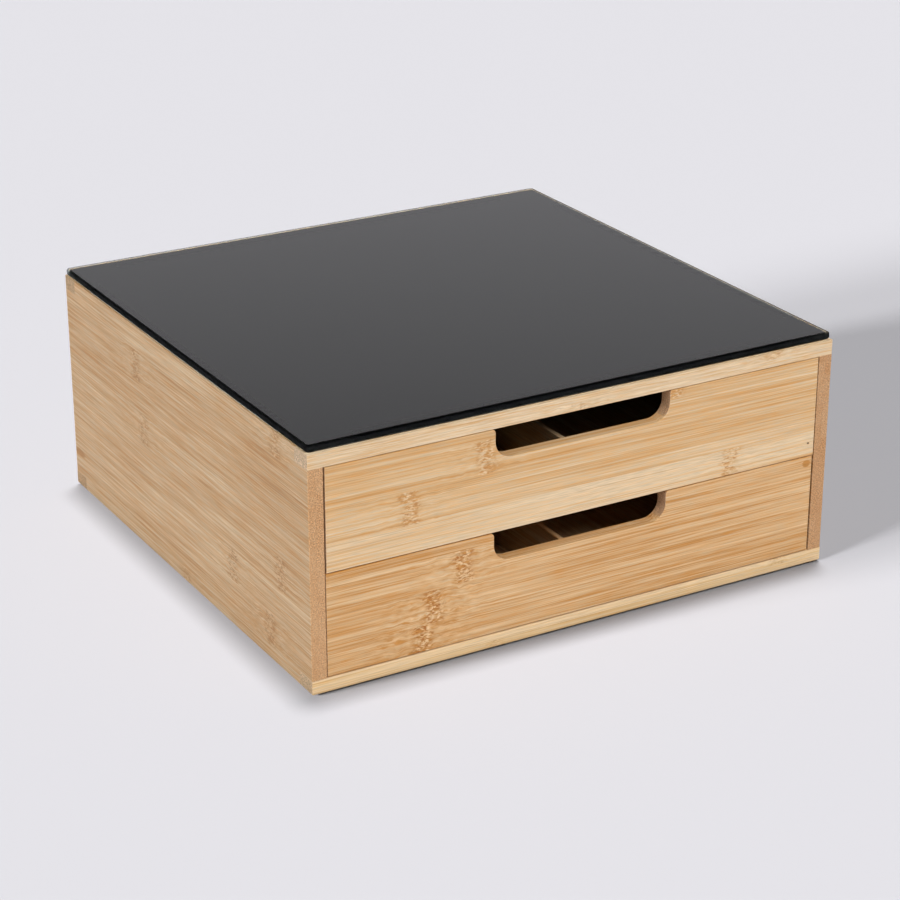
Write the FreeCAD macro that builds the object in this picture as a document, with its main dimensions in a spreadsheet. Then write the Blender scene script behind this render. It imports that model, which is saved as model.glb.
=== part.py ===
"""Coffee capsule cabinet: a bamboo case with two drawers and a black glass top.

Lengths are in millimetres. The assembly stands on Z = 0, with X to the right, Y to the back and
its origin under the middle of the case. The case and each drawer have a frame of their own, with
its origin at the middle of the lower front edge, in which their pieces are drawn.
"""

import FreeCAD
import Part
import Sketcher
import os

# Driving sizes
SIZES = {
    # Case
    "case_width": 315.0,
    "case_depth": 305.0,
    "case_height": 130.2,
    "panel_thickness": 8.25,
    "rail_depth": 13.5,
    "rail_height": 8.0,
    "sheet_thickness": 3.0,
    "groove_depth": 4.0,
    "fit_clearance": 0.2,
    "back_inset": 2.0,
    "bottom_rise": 3.0,
    "edge_radius": 0.4,
    "base_radius": 1.2,
    # Glass top, its tape and the pads under the case
    "glass_thickness": 4.0,
    "glass_side_inset": 0.3,
    "glass_front_inset": 1.2,
    "glass_back_inset": 0.1,
    "glass_corner_radius": 2.5,
    "glass_edge_radius": 1.5,
    "tape_thickness": 0.2,
    "tape_width": 6.0,
    "tape_margin": 20.0,
    "pad_diameter": 10.0,
    "pad_thickness": 0.8,
    "pad_margin": 9.0,
    # Drawers and the gaps round them
    "side_gap": 0.7,
    "front_gap": 0.5,
    "closing_gap": 0.3,
    "upper_offset": 0.25,
    "lower_offset": -0.25,
    "front_thickness": 7.5,
    "front_easing": 0.5,
    "wall_thickness": 8.0,
    "wall_height": 33.8,
    "floor_rise": 3.0,
    "divider_thickness": 3.0,
    "dado_depth": 2.0,
    # Finger cut-out in the top edge of each drawer front
    "cutout_width": 105.0,
    "cutout_depth": 16.3,
    "cutout_radius": 9.5,
    "cutout_easing": 2.0,
    # Runners on the side panels
    "runner_depth": 4.0,
    "runner_height": 8.0,
    "runner_setback": 2.0,
    "runner_lead": 1.5,
    "runner_play": 0.4,
    "runner_clearance": 0.6,
    # Brads
    "brad_width": 1.2,
    "brad_length": 25.0,
    "brad_set": 0.8,
    "brad_margin": 7.5,
    "runner_brad_length": 10.0,
    "runner_brad_margin": 20.0,
}

TOLERANCE = 1e-4

os.makedirs("parts", exist_ok=True)
doc = FreeCAD.newDocument("CapsuleDrawer")
sheet = doc.addObject("Spreadsheet::Sheet", "Sizes")
for row, (name, size) in enumerate(SIZES.items(), 1):
    sheet.set(f"A{row}", name)
    sheet.set(f"B{row}", str(size))
    sheet.setAlias(f"B{row}", name)
doc.recompute()

# Lengths that follow from the driving sizes
inner_half = "(Sizes.case_width / 2 - Sizes.panel_thickness)"
back_panel_y = "(Sizes.case_depth - Sizes.back_inset - Sizes.sheet_thickness)"
opening_height = "(Sizes.case_height - 2 * Sizes.rail_height)"
drawer_half = f"({inner_half} - Sizes.side_gap)"
drawer_depth = f"({back_panel_y} - Sizes.closing_gap)"
front_height = f"(({opening_height} - 3 * Sizes.front_gap) / 2)"
lower_rise = "(Sizes.rail_height + Sizes.front_gap)"
upper_rise = f"({lower_rise} + {front_height} + Sizes.front_gap)"
runner_rise = "((Sizes.wall_height - Sizes.runner_height) / 2)"
runner_groove_depth = "(Sizes.runner_depth - Sizes.side_gap + Sizes.runner_clearance)"
tongue = "(Sizes.groove_depth - Sizes.fit_clearance)"
sheet_groove = "(Sizes.sheet_thickness + Sizes.fit_clearance)"
wall_inner = f"({drawer_half} - Sizes.wall_thickness)"
floor_top = "(Sizes.floor_rise + Sizes.sheet_thickness)"
half_brad = "Sizes.brad_width / 2"

# Positions of the frames of the case and the two drawers
CASE = ("0", "-Sizes.case_depth / 2", "Sizes.pad_thickness")
UPPER = ("Sizes.upper_offset", "-Sizes.case_depth / 2", f"Sizes.pad_thickness + {upper_rise}")
LOWER = ("Sizes.lower_offset", "-Sizes.case_depth / 2", f"Sizes.pad_thickness + {lower_rise}")

# A sketch plane for each axis, and which way its normal points along that axis
PLANES = {"x": ("YZ_Plane", 1), "y": ("XZ_Plane", -1), "z": ("XY_Plane", 1)}
SIDES = {"left": -1, "right": 1}

nodes = []


def value(expression):
    """The number that an expression in the driving sizes comes to."""
    return float(sheet.evalExpression(expression))


def place(piece, frame):
    """Bind a piece's position to the three expressions of its frame."""
    for axis, expression in zip("xyz", frame):
        piece.setExpression(f"Placement.Base.{axis}", expression)


def new_node(piece, frame):
    """Give a finished piece its place in the assembly and its own file."""
    piece.Label = piece.Name
    place(piece, frame)
    nodes.append(piece)


def new_body(name, frame):
    """An empty body in the frame of the case or of a drawer."""
    body = doc.addObject("PartDesign::Body", name)
    new_node(body, frame)
    return body


def new_sketch(body, name, axis, start):
    """An empty sketch square to an axis, at a distance along it."""
    role, sign = PLANES[axis]
    plane = next(item for item in body.Origin.OriginFeatures if item.Role == role)
    sketch = body.newObject("Sketcher::SketchObject", f"{body.Name}_{name}_outline")
    sketch.AttachmentSupport = [(plane, "")]
    sketch.MapMode = "FlatFace"
    sketch.setExpression("AttachmentOffset.Base.z", f"{sign} * ({start})")
    return sketch


def bind(sketch, kind, arguments, expression):
    """Add a constraint whose size is bound to an expression."""
    number = sketch.addConstraint(Sketcher.Constraint(kind, *arguments, value(expression)))
    sketch.setExpression(f"Constraints[{number}]", expression)


def draw_polygon(sketch, corners):
    """Draw a closed polygon with each corner bound to a pair of expressions."""
    points = [FreeCAD.Vector(value(across), value(up), 0) for across, up in corners]
    first = sketch.GeometryCount
    for index, point in enumerate(points):
        sketch.addGeometry(Part.LineSegment(points[index - 1], point))
    for index, (across, up) in enumerate(corners):
        line = first + index
        following = first + (index + 1) % len(corners)
        sketch.addConstraint(Sketcher.Constraint("Coincident", line, 2, following, 1))
        bind(sketch, "DistanceX", (-1, 1, line, 2), across)
        bind(sketch, "DistanceY", (-1, 1, line, 2), up)


def rectangle(low, high):
    """Corners of a rectangle between two opposite ones."""
    return [low, (high[0], low[1]), high, (low[0], high[1])]


def extrude(body, kind, sketch, name, axis, length):
    """Pad or pocket a sketch towards the positive end of an axis."""
    feature = body.newObject(f"PartDesign::{kind}", f"{body.Name}_{name}")
    feature.Profile = sketch
    towards_normal = PLANES[axis][1] > 0
    feature.Reversed = towards_normal if kind == "Pocket" else not towards_normal
    feature.setExpression("Length", length)
    return feature


def pad(body, name, axis, corners, start, length):
    """A prism of wood or glass along an axis."""
    sketch = new_sketch(body, name, axis, start)
    draw_polygon(sketch, corners)
    extrude(body, "Pad", sketch, name, axis, length)


def cut(body, name, axis, corners, start, length):
    """A groove, slot or notch along an axis."""
    before = solid_volume(body)
    sketch = new_sketch(body, name, axis, start)
    draw_polygon(sketch, corners)
    extrude(body, "Pocket", sketch, name, axis, length)
    check_cut(body, name, before)


def pierce(body, name, axis, centres, start, length):
    """Holes along an axis, as square as the brads that made them."""
    before = solid_volume(body)
    sketch = new_sketch(body, name, axis, start)
    for across, up in centres:
        low = (f"{across} - {half_brad}", f"{up} - {half_brad}")
        high = (f"{across} + {half_brad}", f"{up} + {half_brad}")
        draw_polygon(sketch, rectangle(low, high))
    extrude(body, "Pocket", sketch, name, axis, length)
    check_cut(body, name, before)


def solid_volume(body):
    """Volume of a body as it stands."""
    doc.recompute()
    return body.Shape.Volume


def check_cut(body, name, before):
    """Stop if a cut took nothing away."""
    if solid_volume(body) > before - TOLERANCE:
        raise RuntimeError(f"{body.Name}: the cut {name} removes nothing")


def edges_on(body, *tests):
    """Names of a body's edges that pass every test."""
    doc.recompute()
    edges = enumerate(body.Tip.Shape.Edges, 1)
    return [f"Edge{number}" for number, edge in edges if all(test(edge) for test in tests)]


def at(axis, *expressions):
    """Test: the whole edge lies at one of these places on an axis."""
    places = [value(expression) for expression in expressions]

    def test(edge):
        box = edge.BoundBox
        low = getattr(box, f"{axis.upper()}Min")
        high = getattr(box, f"{axis.upper()}Max")
        return any(abs(low - spot) < 0.01 and abs(high - spot) < 0.01 for spot in places)

    return test


def along(axis):
    """Test: the edge is a straight line along an axis."""

    def test(edge):
        box = edge.BoundBox
        spans = {key: getattr(box, f"{key.upper()}Length") for key in "xyz"}
        length = spans.pop(axis)
        return length > 0.01 and max(spans.values()) < 0.01

    return test


def dress(body, kind, name, size, edges):
    """Fillet or chamfer edges of a body."""
    base = body.Tip
    feature = body.newObject(f"PartDesign::{kind}", f"{body.Name}_{name}")
    feature.Base = (base, edges)
    feature.setExpression("Radius" if kind == "Fillet" else "Size", size)
    doc.recompute()


def box(name, low, high):
    """A plain block between two opposite corners, each of three expressions."""
    block = doc.addObject("Part::Box", name)
    for side, axis, near, far in zip(("Length", "Width", "Height"), "xyz", low, high):
        block.setExpression(side, f"({far}) - ({near})")
        block.setExpression(f"Placement.Base.{axis}", near)
    return block


def brad(name, axis, start, length):
    """A brad of square wire along an axis, from the point where its lower end lies."""
    low = [spot if key == axis else f"{spot} - {half_brad}" for key, spot in zip("xyz", start)]
    high = [f"{spot} + {length if key == axis else half_brad}" for key, spot in zip("xyz", start)]
    return box(name, low, high)


def group(name, members, frame):
    """Identical small pieces that share one node as separate solids."""
    compound = doc.addObject("Part::Compound", name)
    compound.Links = members
    new_node(compound, frame)


# Side panels
# Laminated boards that stand between the rails. Each corner is notched for the end of a rail, and
# the inner face is grooved for the back and bottom sheets. Brads hold the rails and runners.
rail_line = "(Sizes.rail_height)"
top_line = "(Sizes.case_height - Sizes.rail_height)"
rail_back = "(Sizes.case_depth - Sizes.rail_depth)"
notched_outline = [
    ("Sizes.rail_depth", "0"),
    (rail_back, "0"),
    (rail_back, rail_line),
    ("Sizes.case_depth", rail_line),
    ("Sizes.case_depth", top_line),
    (rail_back, top_line),
    (rail_back, "Sizes.case_height"),
    ("Sizes.rail_depth", "Sizes.case_height"),
    ("Sizes.rail_depth", top_line),
    ("0", top_line),
    ("0", rail_line),
    ("Sizes.rail_depth", rail_line),
]

# A brad, the tape and the pads lie on the middle line of a rail
RAIL_MIDDLES = {
    "front": "(Sizes.rail_depth / 2)",
    "back": "(Sizes.case_depth - Sizes.rail_depth / 2)",
}
panel_middle = "(Sizes.case_width / 2 - Sizes.panel_thickness / 2)"
brad_reach = "(Sizes.brad_set + Sizes.brad_length - Sizes.rail_height)"

# Height of the lower edge of each pair of runners in the case
RUNNER_LEVELS = {"upper": f"({upper_rise} + {runner_rise})", "lower": f"({lower_rise} + {runner_rise})"}
runner_front = "(Sizes.front_thickness + Sizes.runner_setback)"
runner_back = f"({back_panel_y} - Sizes.runner_setback)"
runner_brad_ends = [f"{runner_front} + Sizes.runner_brad_margin", f"{runner_back} - Sizes.runner_brad_margin"]
runner_brad_middle = f"({runner_front} + {runner_back}) / 2"
runner_brad_places = [
    (spot, f"{level} + Sizes.runner_height / 2")
    for level in RUNNER_LEVELS.values()
    for spot in runner_brad_ends + [runner_brad_middle]
]

for side, hand in SIDES.items():
    panel = new_body(f"side_panel_{side}", CASE)
    outer = f"{hand} * Sizes.case_width / 2"
    inner = f"{hand} * {inner_half}"
    panel_start = outer if hand < 0 else inner
    pad(panel, "board", "x", notched_outline, panel_start, "Sizes.panel_thickness")

    groove_start = f"{inner} - Sizes.groove_depth" if hand < 0 else inner
    back_groove = rectangle((back_panel_y, rail_line), (f"{back_panel_y} + {sheet_groove}", top_line))
    cut(panel, "back_groove", "x", back_groove, groove_start, "Sizes.groove_depth")
    bottom_groove = rectangle(
        ("Sizes.rail_depth", "Sizes.bottom_rise"),
        (rail_back, f"Sizes.bottom_rise + {sheet_groove}"),
    )
    cut(panel, "bottom_groove", "x", bottom_groove, groove_start, "Sizes.groove_depth")

    nail_line = [(f"{hand} * {panel_middle}", middle) for middle in RAIL_MIDDLES.values()]
    pierce(panel, "bottom_brad_holes", "z", nail_line, rail_line, brad_reach)
    pierce(panel, "top_brad_holes", "z", nail_line, f"{top_line} - {brad_reach}", brad_reach)
    runner_brad_reach = "(Sizes.runner_brad_length - Sizes.runner_depth)"
    reach_start = f"{inner} - {runner_brad_reach}" if hand < 0 else inner
    pierce(panel, "runner_brad_holes", "x", runner_brad_places, reach_start, runner_brad_reach)

    lower_edge = edges_on(panel, at("x", outer), at("z", "0"), along("y"))
    dress(panel, "Fillet", "lower_edge", "Sizes.base_radius", lower_edge)
    upright_edges = edges_on(panel, at("x", outer), at("y", "0", "Sizes.case_depth"), along("z"))
    dress(panel, "Fillet", "upright_edges", "Sizes.edge_radius", upright_edges)

# Rails
# Four bars over the full width, let into the corners of the side panels. The back and bottom
# sheets run in grooves that stop inside their ends.
RAILS = {
    "top_front_rail": ("0", top_line),
    "top_back_rail": (rail_back, top_line),
    "bottom_front_rail": ("0", "0"),
    "bottom_back_rail": (rail_back, "0"),
}
groove_half = f"({inner_half} + Sizes.groove_depth)"

for name, (near, low) in RAILS.items():
    rail = new_body(name, CASE)
    far = f"({near} + Sizes.rail_depth)"
    high = f"({low} + Sizes.rail_height)"
    is_top = name.startswith("top")
    is_back = "back" in name
    bar = rectangle(("-Sizes.case_width / 2", near), ("Sizes.case_width / 2", far))
    pad(rail, "bar", "z", bar, low, "Sizes.rail_height")

    if is_back:
        mouth = low if is_top else f"{high} - Sizes.groove_depth"
        slot = rectangle(
            (f"-{groove_half}", back_panel_y),
            (groove_half, f"{back_panel_y} + {sheet_groove}"),
        )
        cut(rail, "back_groove", "z", slot, mouth, "Sizes.groove_depth")
    if not is_top:
        mouth = near if is_back else f"{far} - Sizes.groove_depth"
        slot = rectangle(
            (f"-{groove_half}", "Sizes.bottom_rise"),
            (groove_half, f"Sizes.bottom_rise + {sheet_groove}"),
        )
        cut(rail, "bottom_groove", "y", slot, mouth, "Sizes.groove_depth")

    middle = RAIL_MIDDLES["back" if is_back else "front"]
    centres = [(f"{hand} * {panel_middle}", middle) for hand in SIDES.values()]
    hole_start = low if is_top else "Sizes.brad_set"
    pierce(rail, "brad_holes", "z", centres, hole_start, "Sizes.rail_height - Sizes.brad_set")

    ends = at("x", "-Sizes.case_width / 2", "Sizes.case_width / 2")
    outer_face = at("y", "Sizes.case_depth" if is_back else "0")
    if is_top:
        dress(rail, "Fillet", "end_edges", "Sizes.edge_radius", edges_on(rail, ends, outer_face))
    else:
        end_edges = edges_on(rail, ends, at("z", "0"))
        outer_edge = edges_on(rail, outer_face, at("z", "0"))
        dress(rail, "Fillet", "lower_edges", "Sizes.base_radius", end_edges + outer_edge)

# Back and bottom sheets
# Thin sheets held on all four edges by the grooves of the panels and rails.
sheet_half = f"({inner_half} + {tongue})"
box(
    "back_panel_sheet",
    (f"-{sheet_half}", back_panel_y, f"{rail_line} - {tongue}"),
    (sheet_half, f"{back_panel_y} + Sizes.sheet_thickness", f"{top_line} + {tongue}"),
)
box(
    "bottom_panel_sheet",
    (f"-{sheet_half}", f"Sizes.rail_depth - {tongue}", "Sizes.bottom_rise"),
    (sheet_half, f"{rail_back} + {tongue}", "Sizes.bottom_rise + Sizes.sheet_thickness"),
)
for name in ("back_panel", "bottom_panel"):
    group(name, [doc.getObject(f"{name}_sheet")], CASE)

# Runners
# A strip for each side of each drawer, nailed to the side panel, with its front end bevelled to
# lead the drawer on. It starts behind the closed drawer front.
for level, runner_bottom in RUNNER_LEVELS.items():
    for side, hand in SIDES.items():
        runner = new_body(f"{level}_runner_{side}", CASE)
        runner_top = f"({runner_bottom} + Sizes.runner_height)"
        profile = [
            (f"{runner_front} + Sizes.runner_lead", runner_bottom),
            (runner_back, runner_bottom),
            (runner_back, runner_top),
            (f"{runner_front} + Sizes.runner_lead", runner_top),
            (runner_front, f"{runner_top} - Sizes.runner_lead"),
            (runner_front, f"{runner_bottom} + Sizes.runner_lead"),
        ]
        inner = f"{hand} * {inner_half}"
        start = inner if hand < 0 else f"{inner} - Sizes.runner_depth"
        pad(runner, "strip", "x", profile, start, "Sizes.runner_depth")
        places = [spot for spot in runner_brad_places if spot[1].startswith(runner_bottom)]
        pierce(runner, "brad_holes", "x", places, start, "Sizes.runner_depth")

# Brads of the case
runner_brads = []
for side, hand in SIDES.items():
    for number, (spot, level) in enumerate(runner_brad_places, 1):
        left_end = f"-({inner_half} + {runner_brad_reach})"
        right_end = f"{inner_half} - Sizes.runner_depth"
        lower_end = left_end if hand < 0 else right_end
        name = f"runner_brad_{side}_{number}"
        runner_brads.append(brad(name, "x", (lower_end, spot, level), "Sizes.runner_brad_length"))
group("runner_brads", runner_brads, CASE)

case_brads = []
for side, hand in SIDES.items():
    for end, middle in RAIL_MIDDLES.items():
        across = f"{hand} * {panel_middle}"
        upper_start = "Sizes.case_height - Sizes.brad_set - Sizes.brad_length"
        for level, start in (("bottom", "Sizes.brad_set"), ("top", upper_start)):
            name = f"case_brad_{level}_{end}_{side}"
            case_brads.append(brad(name, "z", (across, middle, start), "Sizes.brad_length"))
group("case_brads", case_brads, CASE)

# Glass top
# A toughened plate with small corner radii and a rounded edge, held by strips of tape on the panels
# and rails. It is set back a little from the front of the case.
glass = new_body("glass_top", CASE)
glass_half = "(Sizes.case_width / 2 - Sizes.glass_side_inset)"
glass_back = "(Sizes.case_depth - Sizes.glass_back_inset)"
glass_bottom = "(Sizes.case_height + Sizes.tape_thickness)"
plate = rectangle((f"-{glass_half}", "Sizes.glass_front_inset"), (glass_half, glass_back))
pad(glass, "plate", "z", plate, glass_bottom, "Sizes.glass_thickness")
dress(glass, "Fillet", "corners", "Sizes.glass_corner_radius", edges_on(glass, along("z")))
rims = edges_on(glass, at("z", glass_bottom, f"{glass_bottom} + Sizes.glass_thickness"))
dress(glass, "Fillet", "rounded_edge", "Sizes.glass_edge_radius", rims)

strip_half = f"({inner_half} - Sizes.tape_margin)"
strips = []
for end, middle in RAIL_MIDDLES.items():
    low = (f"-{strip_half}", f"{middle} - Sizes.tape_width / 2", "Sizes.case_height")
    high = (strip_half, f"{middle} + Sizes.tape_width / 2", glass_bottom)
    strips.append(box(f"glass_tape_{end}", low, high))
for side, hand in SIDES.items():
    middle = f"{hand} * {panel_middle}"
    low = (f"{middle} - Sizes.tape_width / 2", "Sizes.rail_depth + Sizes.tape_margin", "Sizes.case_height")
    high = (f"{middle} + Sizes.tape_width / 2", f"{rail_back} - Sizes.tape_margin", glass_bottom)
    strips.append(box(f"glass_tape_{side}", low, high))
group("glass_tape", strips, CASE)

# Anti-slip pads
# Four thin discs under the corners, stuck to the bottom rails.
pads = []
for side, hand in SIDES.items():
    for end, middle in RAIL_MIDDLES.items():
        disc = doc.addObject("Part::Cylinder", f"pad_{end}_{side}")
        disc.setExpression("Radius", "Sizes.pad_diameter / 2")
        disc.setExpression("Height", "Sizes.pad_thickness")
        across = f"{hand} * (Sizes.case_width / 2 - Sizes.pad_margin)"
        place(disc, (across, middle, "-Sizes.pad_thickness"))
        pads.append(disc)
group("anti_slip_pads", pads, CASE)

# Drawers
# Both are alike: a front with a finger cut-out, two sides and a back joined by brads, a floor in
# grooves on all four sides, and a divider let into the front and the back.
cutout_half = "(Sizes.cutout_width / 2)"
cutout_bottom = f"({front_height} - Sizes.cutout_depth)"
front_outline = [
    (f"-{drawer_half}", "0"),
    (drawer_half, "0"),
    (drawer_half, front_height),
    (cutout_half, front_height),
    (cutout_half, cutout_bottom),
    (f"-{cutout_half}", cutout_bottom),
    (f"-{cutout_half}", front_height),
    (f"-{drawer_half}", front_height),
]
wall_middle = f"({drawer_half} - Sizes.wall_thickness / 2)"
back_face = f"({drawer_depth} - Sizes.wall_thickness)"
brad_levels = ["Sizes.brad_margin", "(Sizes.wall_height - Sizes.brad_margin)"]
corner_brads = [(f"{hand} * {wall_middle}", level) for hand in SIDES.values() for level in brad_levels]
back_brads = [(f"{drawer_depth} - Sizes.wall_thickness / 2", level) for level in brad_levels]
front_reach = "(Sizes.brad_set + Sizes.brad_length - Sizes.front_thickness)"
back_reach = "(Sizes.brad_set + Sizes.brad_length - Sizes.wall_thickness)"
floor_half = f"({wall_inner} + {tongue})"
dado_half = "((Sizes.divider_thickness + Sizes.fit_clearance) / 2)"
dado_tongue = "(Sizes.dado_depth - Sizes.fit_clearance)"


def make_front(prefix, frame):
    """The drawer front, with its cut-out, grooves and brad holes."""
    front = new_body(f"{prefix}_front", frame)
    pad(front, "board", "y", front_outline, "0", "Sizes.front_thickness")
    groove_start = "Sizes.front_thickness - Sizes.groove_depth"
    floor_slot = rectangle(
        (f"-({wall_inner} + Sizes.groove_depth)", "Sizes.floor_rise"),
        (f"{wall_inner} + Sizes.groove_depth", f"Sizes.floor_rise + {sheet_groove}"),
    )
    cut(front, "floor_groove", "y", floor_slot, groove_start, "Sizes.groove_depth")
    dado = rectangle((f"-{dado_half}", floor_top), (dado_half, "Sizes.wall_height"))
    cut(front, "dado", "y", dado, "Sizes.front_thickness - Sizes.dado_depth", "Sizes.dado_depth")
    pierce(front, "brad_holes", "y", corner_brads, "Sizes.brad_set", "Sizes.front_thickness - Sizes.brad_set")

    inner_corners = edges_on(front, along("y"), at("z", cutout_bottom))
    dress(front, "Fillet", "cutout_corners", "Sizes.cutout_radius", inner_corners)
    upper_corners = edges_on(
        front,
        along("y"),
        at("z", front_height),
        at("x", f"-{cutout_half}", cutout_half),
    )
    dress(front, "Fillet", "cutout_easing", "Sizes.cutout_easing", upper_corners)
    dress(front, "Fillet", "face_edges", "Sizes.front_easing", edges_on(front, at("y", "0")))
    return front


def make_side(prefix, side, hand, frame):
    """A drawer side, grooved inside for the floor and outside for the runner."""
    wall = new_body(f"{prefix}_side_{side}", frame)
    outer = f"{hand} * {drawer_half}"
    inner = f"{hand} * {wall_inner}"
    start = outer if hand < 0 else inner
    board = rectangle(("Sizes.front_thickness", "0"), (drawer_depth, "Sizes.wall_height"))
    pad(wall, "board", "x", board, start, "Sizes.wall_thickness")

    floor_slot = rectangle(
        ("Sizes.front_thickness", "Sizes.floor_rise"),
        (drawer_depth, f"Sizes.floor_rise + {sheet_groove}"),
    )
    groove_start = f"{inner} - Sizes.groove_depth" if hand < 0 else inner
    cut(wall, "floor_groove", "x", floor_slot, groove_start, "Sizes.groove_depth")
    runner_slot = rectangle(
        ("Sizes.front_thickness", f"{runner_rise} - Sizes.runner_play"),
        (drawer_depth, f"{runner_rise} + Sizes.runner_height"),
    )
    slot_start = outer if hand < 0 else f"{outer} - {runner_groove_depth}"
    cut(wall, "runner_groove", "x", runner_slot, slot_start, runner_groove_depth)

    front_holes = [spot for spot in corner_brads if spot[0].startswith(f"{hand} ")]
    pierce(wall, "front_brad_holes", "y", front_holes, "Sizes.front_thickness", front_reach)
    hole_start = inner if hand > 0 else f"{outer} + Sizes.brad_set"
    pierce(wall, "back_brad_holes", "x", back_brads, hole_start, "Sizes.wall_thickness - Sizes.brad_set")
    top_edges = edges_on(wall, along("y"), at("z", "Sizes.wall_height"))
    dress(wall, "Fillet", "top_edges", "Sizes.edge_radius", top_edges)


def make_back(prefix, frame):
    """The drawer back, between the sides."""
    back = new_body(f"{prefix}_back", frame)
    board = rectangle((f"-{wall_inner}", "0"), (wall_inner, "Sizes.wall_height"))
    pad(back, "board", "y", board, back_face, "Sizes.wall_thickness")
    floor_slot = rectangle(
        (f"-{wall_inner}", "Sizes.floor_rise"),
        (wall_inner, f"Sizes.floor_rise + {sheet_groove}"),
    )
    cut(back, "floor_groove", "y", floor_slot, back_face, "Sizes.groove_depth")
    dado = rectangle((f"-{dado_half}", floor_top), (dado_half, "Sizes.wall_height"))
    cut(back, "dado", "y", dado, back_face, "Sizes.dado_depth")
    for side, hand in SIDES.items():
        start = f"-{wall_inner}" if hand < 0 else f"{wall_inner} - {back_reach}"
        pierce(back, f"{side}_brad_holes", "x", back_brads, start, back_reach)
    top_edges = edges_on(back, along("x"), at("z", "Sizes.wall_height"))
    dress(back, "Fillet", "top_edges", "Sizes.edge_radius", top_edges)


def make_divider(prefix, frame):
    """The strip that parts the drawer in two."""
    divider = new_body(f"{prefix}_divider", frame)
    half = "Sizes.divider_thickness / 2"
    profile = rectangle(
        (f"Sizes.front_thickness - {dado_tongue}", floor_top),
        (f"{back_face} + {dado_tongue}", "Sizes.wall_height"),
    )
    pad(divider, "strip", "x", profile, f"-{half}", "Sizes.divider_thickness")
    top_edges = edges_on(divider, along("y"), at("z", "Sizes.wall_height"))
    dress(divider, "Fillet", "top_edges", "Sizes.edge_radius", top_edges)


def make_floor(prefix, frame):
    """The sheet on which the capsules lie."""
    tray = box(
        f"{prefix}_floor_sheet",
        (f"-{floor_half}", f"Sizes.front_thickness - {tongue}", "Sizes.floor_rise"),
        (floor_half, f"{back_face} + {tongue}", floor_top),
    )
    group(f"{prefix}_floor", [tray], frame)


def make_brads(prefix, frame):
    """Four brads through the front and four through the sides into the back."""
    brads = []
    for number, (across, level) in enumerate(corner_brads, 1):
        start = (across, "Sizes.brad_set", level)
        brads.append(brad(f"{prefix}_front_brad_{number}", "y", start, "Sizes.brad_length"))
    for side, hand in SIDES.items():
        for number, (spot, level) in enumerate(back_brads, 1):
            left_start = f"-{drawer_half} + Sizes.brad_set"
            right_start = f"{drawer_half} - Sizes.brad_set - Sizes.brad_length"
            start = (left_start if hand < 0 else right_start, spot, level)
            brads.append(brad(f"{prefix}_back_brad_{side}_{number}", "x", start, "Sizes.brad_length"))
    group(f"{prefix}_brads", brads, frame)


for prefix, frame in (("upper_drawer", UPPER), ("lower_drawer", LOWER)):
    front = make_front(prefix, frame)
    if prefix == "upper_drawer":
        # One brad hole at the lower right corner was left open.
        open_hole = [(wall_middle, "Sizes.brad_margin")]
        pierce(front, "open_brad_hole", "y", open_hole, "0", "Sizes.brad_set")
    for side, hand in SIDES.items():
        make_side(prefix, side, hand, frame)
    make_back(prefix, frame)
    make_floor(prefix, frame)
    make_divider(prefix, frame)
    make_brads(prefix, frame)

# Checks and files
doc.recompute()
for item in doc.Objects:
    if "Invalid" in item.State or "Error" in item.State:
        raise RuntimeError(f"{item.Name} failed: {item.State}")
for node in nodes:
    if node.Shape.isNull() or not node.Shape.isValid():
        raise RuntimeError(f"{node.Name} has no valid shape")
for node in nodes:
    node.Shape.exportStep(f"parts/{node.Label}.step")
    print(f"{node.Label}: {len(node.Shape.Solids)} solid(s), {node.Shape.Volume:.1f} mm3")
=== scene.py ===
"""Finishes, light and camera for a bamboo cabinet with two capsule drawers under a black glass top.

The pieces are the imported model's own. Lengths in a finish are millimetres in the row frame: x to the
right, y to the back and z up, from the middle of the footprint. A drawer takes its frame along.
"""

import math
import random

import bmesh
import bpy
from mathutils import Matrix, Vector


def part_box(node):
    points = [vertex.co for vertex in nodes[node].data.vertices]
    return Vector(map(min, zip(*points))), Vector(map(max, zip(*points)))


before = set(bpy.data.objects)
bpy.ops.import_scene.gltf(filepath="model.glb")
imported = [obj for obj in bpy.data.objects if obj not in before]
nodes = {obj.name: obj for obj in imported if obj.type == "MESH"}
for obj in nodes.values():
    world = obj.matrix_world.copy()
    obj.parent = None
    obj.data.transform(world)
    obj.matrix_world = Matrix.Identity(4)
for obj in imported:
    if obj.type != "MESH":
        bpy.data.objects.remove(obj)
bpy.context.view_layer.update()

# Side panels
# Two boards of flat-pressed bamboo: strips about 18 mm wide, glued edge to edge in two layers, with the
# grain from front to back. They are sanded, eased and given a thin clear lacquer. The knuckles are where
# the cane had its rings.


def paint(red, green, blue):
    """The linear colour that shows as these 8-bit values."""
    shares = (value / 255 for value in (red, green, blue))
    linear = [share / 12.92 if share < 0.0405 else ((share + 0.055) / 1.055) ** 2.4 for share in shares]
    return (*linear, 1.0)


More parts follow.
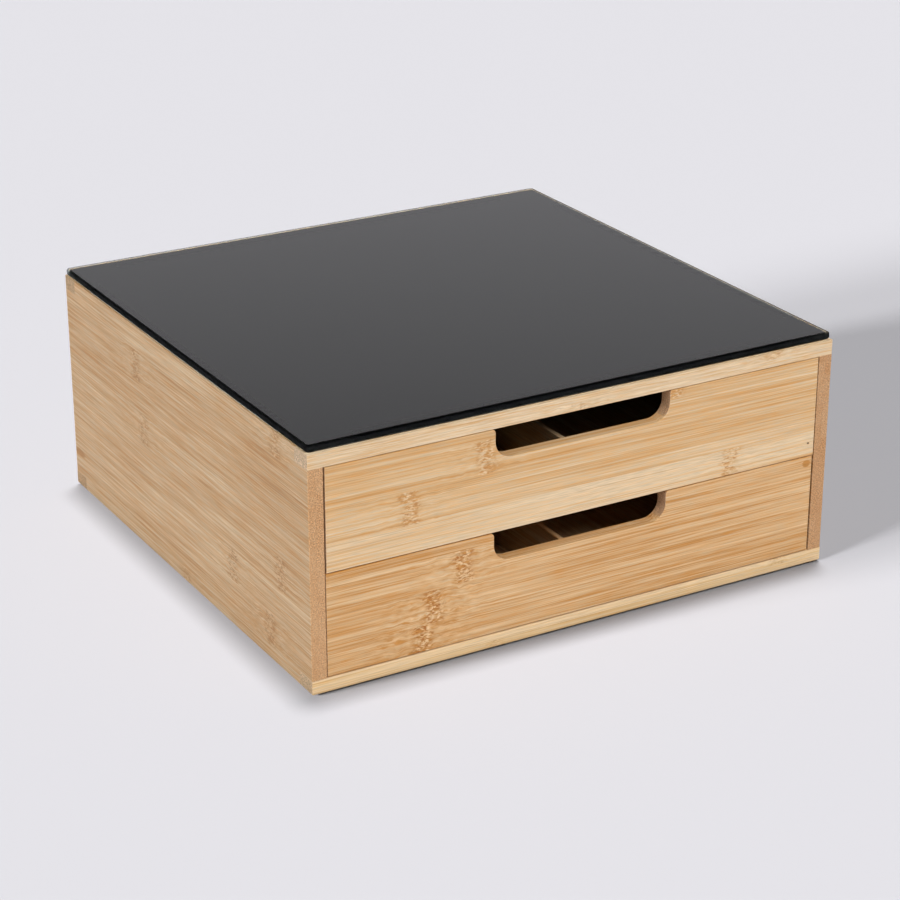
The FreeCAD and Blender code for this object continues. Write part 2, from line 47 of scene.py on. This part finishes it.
class Wire:
    """An output socket in a tree of shader nodes.

    Arithmetic on it adds Math nodes, and node() adds any other node.
    """

    def __init__(self, tree, socket=None):
        self.tree = tree
        self.socket = socket

    def node(self, kind, settings=None, inputs=None, output=0):
        made = self.tree.nodes.new("ShaderNode" + kind)
        for name, setting in (settings or {}).items():
            if name == "stops":
                stops = made.color_ramp.elements
                while len(stops) < len(setting):
                    stops.new(1.0)
                for stop, (place, colour) in zip(stops, setting):
                    stop.position = place
                    stop.color = colour
            elif name == "steps":
                made.color_ramp.interpolation = setting
            else:
                setattr(made, name, setting)
        for name, value in (inputs or {}).items():
            if isinstance(value, Wire):
                self.tree.links.new(value.socket, made.inputs[name])
            else:
                made.inputs[name].default_value = value
        return Wire(self.tree, made.outputs[output] if made.outputs else None)

    def outputs(self, *names):
        return [Wire(self.tree, self.socket.node.outputs[name]) for name in names]

    def math(self, operation, *others):
        return self.node("Math", {"operation": operation}, dict(enumerate((self, *others))))

    def __add__(self, other):
        return self.math("ADD", other)

    __radd__ = __add__

    def __sub__(self, other):
        return self.math("SUBTRACT", other)

    def __rsub__(self, other):
        return (self * -1.0) + other

    def __mul__(self, other):
        return self.math("MULTIPLY", other)

    __rmul__ = __mul__

    def __truediv__(self, other):
        return self.math("DIVIDE", other)

    def size(self):
        return self.math("ABSOLUTE")

    def clamp(self):
        return self.node("Clamp", None, {0: self})

    def between(self, low, high):
        """0 up to low, 1 from high, and smooth in between."""
        return self.node("MapRange", {"interpolation_type": "SMOOTHSTEP"}, {0: self, 1: low, 2: high})

    def mix(self, none, full):
        """The colour none where this is 0, and full where it is 1."""
        return self.node("Mix", {"data_type": "RGBA"}, {0: self, 6: none, 7: full}, output=2)

    def shade(self, amount):
        """This colour, made lighter or darker by amount."""
        return self.node("VectorMath", {"operation": "SCALE"}, {0: self, "Scale": amount})


def new_finish(name):
    material = bpy.data.materials.new(name)
    material.use_nodes = True
    material.node_tree.nodes.clear()
    return material, Wire(material.node_tree)


def dress(material, *names):
    for name in names:
        nodes[name].material_slots[0].material = material


def noise(vector, detail=2.0, roughness=0.5):
    """Smooth noise about 0, mostly within half of 1, whose features are one unit across."""
    inputs = {"Vector": vector, "Scale": 1.0, "Detail": detail, "Roughness": roughness}
    return vector.node("TexNoise", None, inputs) - 0.5


def at(along, across, through):
    return along.node("CombineXYZ", None, {0: along, 1: across, 2: through})


def row_place(tree):
    """The x, y and z of a place on a piece, in millimetres."""
    place = tree.node("TexCoord", output="Object").shade(1000.0)
    return place.node("SeparateXYZ", None, {0: place}).outputs(0, 1, 2)


def box_millimetres(name):
    """The low and the high corner of a piece."""
    return [corner * 1000 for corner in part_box(name)]


STRIP_WIDTH = 18.2
RING_SPACING = 330.0
KINDS_IN_RAMP = 15


def random_strips(name, across, seed):
    """Strips for a board whose face nobody has looked at."""
    draw = random.Random(seed)
    low = box_millimetres(name)[0]["xyz".index(across)]
    start = low - draw.uniform(0.2, 0.9) * STRIP_WIDTH
    kinds = [
        (draw.uniform(0.2, 0.75), draw.uniform(0, RING_SPACING), draw.random(), draw.uniform(0, 0.6))
        for _ in range(KINDS_IN_RAMP)
    ]
    return start, STRIP_WIDTH, kinds


def bamboo(name, board, along, across, strips, colours, layers=2, reach=1.0, rings=1.0, spots=()):
    """A board pressed from strips. The letters along and across say which way its grain and its strips lie.

    The strips are where the first one starts, how wide each is, and the kinds in the order in which they
    lie. A kind is (tone from pale 0 to orange 1, where its knuckle is, phase, how wild the grain is round
    the knuckle). The lines of the grain run further with a larger reach, and the knuckles are stronger
    with larger rings. A spot is (place along, place across, half length, half width).
    """
    pale, honey, streak, ring, end = colours
    first, width, kinds = strips
    through = next(letter for letter in "xyz" if letter not in along + across)
    low, high = box_millimetres(board)
    material, tree = new_finish(name)
    axes = dict(zip("xyz", row_place(tree)))
    u, v, w = (axes[letter] for letter in (along, across, through))

    # Which strip. The second layer's strips break joint with the first's, and their knuckles lie elsewhere.
    # A ramp of equal steps looks the kinds up.
    middle = (low["xyz".index(through)] + high["xyz".index(through)]) / 2
    layer = w.math("GREATER_THAN", middle) if layers == 2 else None
    stops = []
    for index in range(KINDS_IN_RAMP):
        tone, knuckle, phase, wild = kinds[index % len(kinds)]
        stops.append((index / KINDS_IN_RAMP, (tone, knuckle % RING_SPACING / RING_SPACING, phase, wild)))
    count = (v - first) / width
    if layer:
        count = count + layer * 0.45
    step = (count / KINDS_IN_RAMP).math("FRACT")
    kind = tree.node("ValToRGB", {"stops": stops, "steps": "CONSTANT"}, {0: step})
    tone, knuckle, phase = kind.node("SeparateColor", None, {0: kind}).outputs(0, 1, 2)
    wild, = kind.outputs("Alpha")
    if layer:
        knuckle = knuckle + layer * 0.37
        phase = phase + layer * 0.61
    joint = 1.0 - ((0.5 - (count.math("FRACT") - 0.5).size()) * width).between(0.08, 0.4)
    shifted = u + phase * 700.0

    def grain(sideways, length, breadth, detail=2.0, roughness=0.5):
        """Noise in features of this length and breadth, laid along the board and different in each strip."""
        return noise(at(shifted / length, sideways / breadth, w / breadth), detail, roughness)

    # The rings of the cane, where the fibres knot and the grain around them swirls.
    gap = ((u / RING_SPACING - knuckle + 0.5).math("FRACT") - 0.5) * RING_SPACING
    ring_line = gap + noise(at(phase * 60.0, v / 5.0, w / 5.0)) * 10.0
    near = 1.0 - gap.size().between(3.0, 45.0)
    unrest = near * wild
    v_bent = v + grain(v, 8.0, 3.2) * (near * 1.0 + unrest * 4.5)
    at_ring = 1.0 - ring_line.size().between(2.5, 7.5)
    dashes = grain(v_bent, 2.2, 0.85, 1.0)
    knots = dashes.between(0.0, 0.2) * at_ring
    # Painted glints: pale flecks at the knuckles that stand for light caught by the knotted fibres.
    painted_glints = (dashes * -1.0).between(0.02, 0.16) * at_ring
    halo = (1.0 - ring_line.size().between(2.0, 9.0)) * (0.5 + grain(v, 5.0, 4.0) * 2.0)

    # The fibres: lines of several widths, which give the board its streaks and its tone.
    fine = grain(v_bent, 44.0 * reach, 0.75, 3.0, 0.7)
    lines = grain(v_bent, 95.0 * reach, 1.3, 3.0, 0.7)
    streaks = grain(v_bent, 120.0 * reach, 2.8, 1.0)
    bands = grain(v_bent, 140.0 * reach, 7.0)
    clouds = grain(v, 50.0 * reach, 14.0)
    mottle = grain(v_bent, 6.5, 2.0) * (unrest * 1.6)
    flecks = grain(v_bent, 10.0, 0.6, 1.0)
    threads = grain(v_bent, 60.0 * reach, 0.6, 1.0).between(0.06, 0.22)
    calm = 1.0 - unrest * 0.5
    tint = tone + (fine * 2.8 + lines * 1.1 + streaks * 0.5 + bands * 0.8) * calm
    tint = tint + clouds * 0.4 + mottle + flecks * 1.0 + halo * (0.45 * rings)
    for spot_u, spot_v, length, breadth in spots:
        away = ((u - spot_u) / length).math("POWER", 2.0) + ((v - spot_v) / breadth).math("POWER", 2.0)
        tint = tint + (1.0 - (away + lines * 1.5).between(0.3, 1.3)) * 0.9
    colour = (tint * 2.0).clamp().mix(pale, honey)
    colour = ((tint - 0.5) * 2.0).clamp().mix(colour, streak)
    colour = (threads * 0.5).mix(colour, streak)
    colour = (knots * (0.75 * rings)).mix(colour, ring)
    colour = (painted_glints * (0.6 * rings)).mix(colour, pale)
    colour = colour.shade(1.0 + fine * 0.3 + flecks * 0.6 - joint * 0.05)

    # The sawn ends, where the fibres show as dots.
    normal = tree.node("NewGeometry", output="True Normal")
    facing = dict(zip("xyz", normal.node("SeparateXYZ", None, {0: normal}).outputs(0, 1, 2)))
    sawn = facing[along].size().between(0.55, 0.8)
    coarse = (phase * 5.3 + 0.2).math("FRACT")
    dots = noise(at(v / 0.7, w / 0.7, u / 9.0), 1.0) * (0.9 + coarse * 0.9)
    end_colour = tree.node("Mix", {"data_type": "RGBA"}, {0: 0.25, 6: end, 7: colour}, output=2)
    end_colour = end_colour.shade(1.0 + dots)
    if layer:
        glue = 1.0 - (w - middle).size().between(0.05, 0.3)
        end_colour = end_colour.shade(1.0 - glue * 0.06)
    colour = sawn.mix(colour, end_colour)

    # The eased edges, where the lacquer is rubbed thin and rougher, and where a painted highlight makes the
    # colour lighter, as if the rounding caught the light. A place is as far from an edge as the middle one of
    # its three ways to the sides of the board.
    reach_in = [
        (axes[letter] - low[index]).math("MINIMUM", (axes[letter] * -1.0) + high[index])
        for index, letter in enumerate("xyz")
    ]
    least = reach_in[0].math("MINIMUM", reach_in[1])
    most = reach_in[0].math("MAXIMUM", reach_in[1])
    edge = least.math("MAXIMUM", most.math("MINIMUM", reach_in[2]))
    rubbed_and_highlit = (1.0 - edge.between(0.15, 0.8)) * (0.7 + noise(at(u / 9.0, v / 3.0, w / 3.0)) * 1.4).clamp()
    # A painted highlight: the colour is made lighter along the eased edges.
    colour = colour.shade(1.0 + rubbed_and_highlit * 0.03)

    relief = lines * 0.5 + fine * 0.5 - knots * 0.12
    lacquer = {
        "Base Color": colour,
        "Roughness": 0.5 + fine * 0.2 + knots * 0.08 + rubbed_and_highlit * 0.08 + sawn * 0.12,
        "Normal": tree.node("Bump", None, {"Strength": 0.6, "Distance": 0.00004, "Height": relief}),
        "IOR": 1.45,
        "Specular IOR Level": 0.35,
    }
    tree.node("OutputMaterial", None, {0: tree.node("BsdfPrincipled", None, lacquer)})
    return material


PANEL_COLOURS = (
    paint(230, 202, 162),
    paint(210, 172, 126),
    paint(188, 138, 84),
    paint(166, 118, 74),
    paint(195, 149, 106),
)
panel_left_strips = (-9.9, 18.1, [
    (0.45, -1.5, 0.10, 0.2),
    (0.55, -106.5, 0.35, 0.6),
    (0.45, -63.5, 0.72, 0.4),
    (0.50, -120.0, 0.21, 0.2),
    (0.50, 47.5, 0.93, 0.3),
    (0.55, 164.0, 0.48, 0.0),
    (0.60, 54.5, 0.64, 0.4),
    (0.40, -118.5, 0.05, 0.5),
])
panel_left_spots = [(146.5, 22.8, 9.0, 2.2)]
panel_left = bamboo(
    "panel_left", "side_panel_left", "y", "z", panel_left_strips, PANEL_COLOURS,
    reach=1.2, rings=0.8, spots=panel_left_spots,
)
dress(panel_left, "side_panel_left")
panel_right_strips = random_strips("side_panel_right", "z", 11)
panel_right_colours = (*PANEL_COLOURS[:4], paint(185, 138, 97))
panel_right = bamboo(
    "panel_right", "side_panel_right", "y", "z", panel_right_strips, panel_right_colours,
    reach=1.2, rings=0.8,
)
dress(panel_right, "side_panel_right")

# Rails
# Four bars of the same board sawn narrow, let into the panels' corner notches and nailed. Their two layers
# lie one above the other, and their sawn ends show in the sides of the case.

TOP_RAIL_COLOURS = (paint(235, 211, 177), paint(221, 190, 149), paint(204, 160, 108), paint(178, 130, 84))
# The bottom rails are written paler than the top rails. This is painted light that makes up for the dimmer
# light low on the case, on top of their own yellower tone.
BOTTOM_RAIL_BRIGHTENED_COLOURS = (paint(239, 209, 166), paint(225, 190, 138), paint(206, 158, 98), paint(184, 132, 80))
RAILS = {
    "top_front_rail": ((0.32, -1.5, 0.15, 0.6), (0.46, 121.0, 0.55, 0.9), 0.5, (208, 181, 149)),
    "bottom_front_rail": ((0.4, -52.0, 0.42, 0.2), (0.15, 127.5, 0.82, 0.5), 2.5, (197, 168, 134)),
    "top_back_rail": ((0.7, 90.0, 0.27, 0.3), (0.75, -30.0, 0.67, 0.3), 0.8, (180, 151, 118)),
    "bottom_back_rail": ((0.75, 60.0, 0.51, 0.3), (0.8, -110.0, 0.91, 0.3), 0.8, (181, 148, 114)),
}
for name, (below, above, reach, end) in RAILS.items():
    colours = TOP_RAIL_COLOURS if name.startswith("top") else BOTTOM_RAIL_BRIGHTENED_COLOURS
    low, high = box_millimetres(name)
    strips = (low.z, (high.z - low.z) / 2, [below, above])
    rail = bamboo(
        name, name, "x", "z", strips, (*colours, paint(*end)),
        layers=1, reach=reach, rings=0.6,
    )
    dress(rail, name)

# Back and bottom sheets
# One layer of thin strips each, slid into the grooves of the panels and rails. Only the back shows, behind
# the case.

SHEET_COLOURS = (
    paint(226, 198, 160),
    paint(214, 178, 135),
    paint(198, 153, 103),
    paint(166, 116, 72),
    paint(185, 150, 112),
)
for finish, name, across, seed in [
    ("back_sheet", "back_panel", "z", 21),
    ("bottom_sheet", "bottom_panel", "y", 22),
]:
    strips = random_strips(name, across, seed)
    dress(bamboo(finish, name, "x", across, strips, SHEET_COLOURS, layers=1), name)

# Runners
# Four planed strips of the same cane, each nailed to a panel with three brads. A drawer hangs on two of
# them by the grooves in its sides.

runners = ["upper_runner_left", "upper_runner_right", "lower_runner_left", "lower_runner_right"]
for index, name in enumerate(runners):
    strips = random_strips(name, "z", 31 + index)
    dress(bamboo(name, name, "y", "z", strips, SHEET_COLOURS, layers=1, rings=0.6), name)

# Brads
# Square steel pins without heads, cut from drawn wire and driven below the surface. The hole of one in
# the upper front was left unfilled.

material, tree = new_finish("brad_steel")
x, y, z = row_place(tree)
drawn = noise(at(x * 3.0, y * 0.4, z * 3.0), 3.0)
tarnish = noise(at(x, y, z), 3.0).between(0.0, 0.25)
steel = {
    "Base Color": tarnish.mix(paint(196, 196, 198), paint(150, 142, 132)),
    "Metallic": 1.0,
    "Roughness": 0.38 + drawn * 0.2 + tarnish * 0.15,
    "Normal": tree.node("Bump", None, {"Strength": 0.4, "Distance": 0.00002, "Height": drawn}),
}
tree.node("OutputMaterial", None, {0: tree.node("BsdfPrincipled", None, steel)})
dress(material, "runner_brads", "case_brads", "upper_drawer_brads", "lower_drawer_brads")

# Glass top
# A 4 mm toughened sheet of clear glass with black enamel baked on its underside. Its rims are ground round
# and satin, so the back and right rims pass some light and the front and left ones look black. Four strips
# of tape hold it.

underside_height = box_millimetres("glass_top")[0].z
material, tree = new_finish("enamelled_glass")
x, y, z = row_place(tree)
true_normal = tree.node("NewGeometry", output="True Normal")
upward = true_normal.node("SeparateXYZ", None, {0: true_normal}, output=2)
smear = noise(at(x / 60.0, y / 25.0, z), 3.0).between(-0.1, 0.3)
face = {
    "Base Color": smear.mix((0.96, 0.98, 0.97, 1.0), (0.94, 0.96, 0.95, 1.0)),
    "Roughness": 0.01 + smear * 0.02,
    "IOR": 1.5,
    "Transmission Weight": 1.0,
    "Normal": true_normal,
    "Specular Tint": (1.0, 1.0, 0.96, 1.0),
}
polished = tree.node("BsdfPrincipled", None, face)
grit = noise(at(x / 0.3, y / 0.3, z / 0.3), 2.0)
satin = {"Color": (0.9, 0.94, 0.92, 1.0), "Roughness": 0.5 + grit * 0.3, "IOR": 1.5}
passing = tree.node("BsdfRefraction", None, satin)
sheen = tree.node("BsdfGlossy", None, {"Color": (0.9, 0.95, 1.0, 1.0), "Roughness": 0.3 + grit * 0.2})
ground = tree.node("MixShader", None, {0: 0.012, 1: passing, 2: sheen})
pinholes = noise(at(x / 0.5, y / 0.5, z), 2.0).between(0.2, 0.4)
black = {
    "Base Color": pinholes.mix(paint(10, 10, 10), paint(20, 20, 20)),
    "Roughness": 0.6 + pinholes * 0.2,
    "Specular IOR Level": 0.05,
}
enamel = tree.node("BsdfPrincipled", None, black)
clear = tree.node("MixShader", None, {0: upward.between(0.95, 0.99), 1: ground, 2: polished})
underside = 1.0 - z.between(underside_height + 0.01, underside_height + 0.05)
surface = tree.node("MixShader", None, {0: underside, 1: clear, 2: enamel})
tree.node("OutputMaterial", None, {0: surface})
dress(material, "glass_top")

material, tree = new_finish("clear_tape")
x, y, z = row_place(tree)
bubbles = noise(at(x / 1.2, y / 1.2, z)).between(0.05, 0.25)
tape = {
    "Base Color": bubbles.mix(paint(205, 208, 210), paint(226, 228, 230)),
    "Roughness": 0.3 + bubbles * 0.3,
}
tree.node("OutputMaterial", None, {0: tree.node("BsdfPrincipled", None, tape)})
dress(material, "glass_tape")

# Anti-slip pads
# Thin discs of black foam rubber, punched from a sheet with a gummed back and stuck under the ends of the
# two bottom rails.

material, tree = new_finish("foam_rubber")
x, y, z = row_place(tree)
cells = noise(at(x / 0.3, y / 0.3, z / 0.3))
rubber = {
    "Base Color": (0.5 + cells).mix(paint(24, 24, 25), paint(46, 46, 47)),
    "Roughness": 0.85 + cells * 0.2,
    "Normal": tree.node("Bump", None, {"Strength": 0.7, "Distance": 0.00008, "Height": cells}),
}
tree.node("OutputMaterial", None, {0: tree.node("BsdfPrincipled", None, rubber)})
dress(material, "anti_slip_pads")

# Drawer fronts
# Two boards with the grain across, each with a broad finger cut-out routed into its top edge. The upper
# board is the paler, and the lower one was cut where two knuckles lie side by side.

UPPER_COLOURS = (
    paint(229, 203, 166),
    paint(218, 180, 132),
    paint(202, 150, 90),
    paint(190, 134, 78),
    paint(176, 142, 115),
)
LOWER_COLOURS = (
    paint(231, 198, 154),
    paint(213, 169, 118),
    paint(189, 132, 67),
    paint(172, 110, 54),
    paint(176, 142, 115),
)
upper_strips = (62.0, 18.35, [
    (0.15, 92.5, 0.31, 0.2),
    (0.50, -102.5, 0.83, 0.35),
    (0.52, -58.5, 0.14, 0.5),
    (0.55, 55.5, 0.57, 0.2),
])
lower_strips = (5.2, 18.2, [
    (0.60, -95.5, 0.12, 1.0),
    (0.44, -87.5, 0.44, 1.0),
    (0.45, -71.5, 0.91, 0.7),
    (0.55, 163.0, 0.66, 0.2),
])
lower_spots = [(144.5, 61.8, 2.6, 2.0), (-97.0, 9.5, 6.0, 2.5)]
upper_front = bamboo(
    "upper_front", "upper_drawer_front", "x", "z", upper_strips, UPPER_COLOURS,
    reach=1.9, rings=1.2,
)
lower_front = bamboo(
    "lower_front", "lower_drawer_front", "x", "z", lower_strips, LOWER_COLOURS,
    reach=1.6, rings=1.4, spots=lower_spots,
)
dress(upper_front, "upper_drawer_front")
dress(lower_front, "lower_drawer_front")

# Drawer boxes
# Low walls of the same board behind each front, a thin floor in their grooves, and one divider from front
# to back.

for prefix, seed in (("upper_drawer_", 41), ("lower_drawer_", 51)):
    for offset, (piece, along, across, layers) in enumerate([
        ("side_left", "y", "z", 2),
        ("side_right", "y", "z", 2),
        ("back", "x", "z", 2),
        ("divider", "y", "z", 1),
        ("floor", "y", "x", 1),
    ]):
        name = prefix + piece
        strips = random_strips(name, across, seed + offset)
        dress(bamboo(name, name, along, across, strips, SHEET_COLOURS, layers=layers), name)

# Stage
# A wide floor of pale paper, which runs out into a background of the same colour. It takes the shadows, and
# it has lamps of its own.

BACKGROUND = paint(229, 228, 233)
FLOOR_RADIUS = 12.0
FLOOR_SHARE = 0.3  # of the background's colour, which its lamps make up for
ground_mesh = bpy.data.meshes.new("floor")
plane = bmesh.new()
bmesh.ops.create_circle(plane, cap_ends=True, segments=128, radius=FLOOR_RADIUS)
plane.to_mesh(ground_mesh)
plane.free()
floor = bpy.data.objects.new("floor", ground_mesh)
bpy.context.scene.collection.objects.link(floor)
material, tree = new_finish("floor_paper")
paper = (*(FLOOR_SHARE * part for part in BACKGROUND[:3]), 1.0)
tree.node("OutputMaterial", None, {0: tree.node("BsdfDiffuse", None, {"Color": paper})})
ground_mesh.materials.append(material)

# Light
# A dim even surround, which looks pale at eye height and dark overhead, a broad key light from the front, a
# weaker lamp from the left and one from behind, and three lamps that only the floor takes: one high, for the
# shadow at the foot, and two low, for the long shadow.

AMBIENT = 0.13
OVERHEAD_COLOUR = paint(80, 80, 80)
DARKENS_FROM, DARKENS_TO = 0.06, 0.76  # how steeply a ray rises, as the z of its direction
world = bpy.data.worlds.new("surround")
world.use_nodes = True
world.node_tree.nodes.clear()
bpy.context.scene.world = world
sky = Wire(world.node_tree)
rays = sky.node("LightPath")
camera_ray, glossy_ray, through_ray = rays.outputs("Is Camera Ray", "Is Glossy Ray", "Is Transmission Ray")
seen = (camera_ray + glossy_ray + through_ray).clamp()
direction = sky.node("TexCoord", output="Generated")
height = direction.node("SeparateXYZ", None, {0: direction}, output=2)
lit = sky.node("Background", None, {"Color": BACKGROUND, "Strength": AMBIENT / BACKGROUND[0]})
shade = height.between(DARKENS_FROM, DARKENS_TO).mix(BACKGROUND, OVERHEAD_COLOUR)
shown = sky.node("Background", None, {"Color": shade})
sky.node("OutputWorld", None, {0: sky.node("MixShader", None, {0: seen, 1: lit, 2: shown})})

only_floor = bpy.data.collections.new("only_floor")
only_floor.objects.link(floor)
not_floor = bpy.data.collections.new("not_floor")
not_floor.objects.link(floor)
not_floor.collection_objects[0].light_linking.link_state = "EXCLUDE"


def sun(name, azimuth, elevation, level, width, receivers):
    """A lamp whose light comes from azimuth degrees left of the front, and elevation degrees above the floor.

    A surface that faces it is lit by level, where 1 shows a colour as it is written.
    """
    data = bpy.data.lights.new(name, "SUN")
    data.energy = level * math.pi
    data.angle = math.radians(width)
    lamp = bpy.data.objects.new(name, data)
    lamp.rotation_euler = (math.radians(90 - elevation), 0.0, math.radians(-azimuth))
    bpy.context.scene.collection.objects.link(lamp)
    lamp.light_linking.receiver_collection = receivers
    lamp.visible_glossy = False


sun("key", 3.0, 47.0, 0.75, 30.0, not_floor)
sun("left", 88.0, 25.0, 0.33, 30.0, not_floor)
sun("fill", 205.0, 40.0, 0.35, 40.0, not_floor)
sun("overhead", 220.0, 84.0, 0.49 / FLOOR_SHARE, 8.0, only_floor)
LOW_ELEVATION = 15.0
low_level = 0.235 / FLOOR_SHARE / math.sin(math.radians(LOW_ELEVATION))
sun("low_front", 93.0, LOW_ELEVATION, low_level, 8.0, only_floor)
sun("low_back", 80.0, LOW_ELEVATION, low_level, 12.0, only_floor)

# Camera
# It stands to the left of the front, about 1.4 m away, with a long lens, and looks down on the case. All of
# the picture is sharp.

LOOK_DOWN = 22.972
LOOK_RIGHT = 30.008
camera_data = bpy.data.cameras.new("camera")
camera_data.lens = 100.0
camera_data.sensor_width = 36.0
camera_data.clip_start = 0.05
camera_data.clip_end = 50.0
camera = bpy.data.objects.new("camera", camera_data)
camera.location = (-0.6462, -1.1351, 0.5981)
camera.rotation_euler = (math.radians(90 - LOOK_DOWN), 0.0, math.radians(-LOOK_RIGHT))
bpy.context.scene.collection.objects.link(camera)
bpy.context.scene.camera = camera
bpy.context.scene.view_settings.view_transform = "Standard"
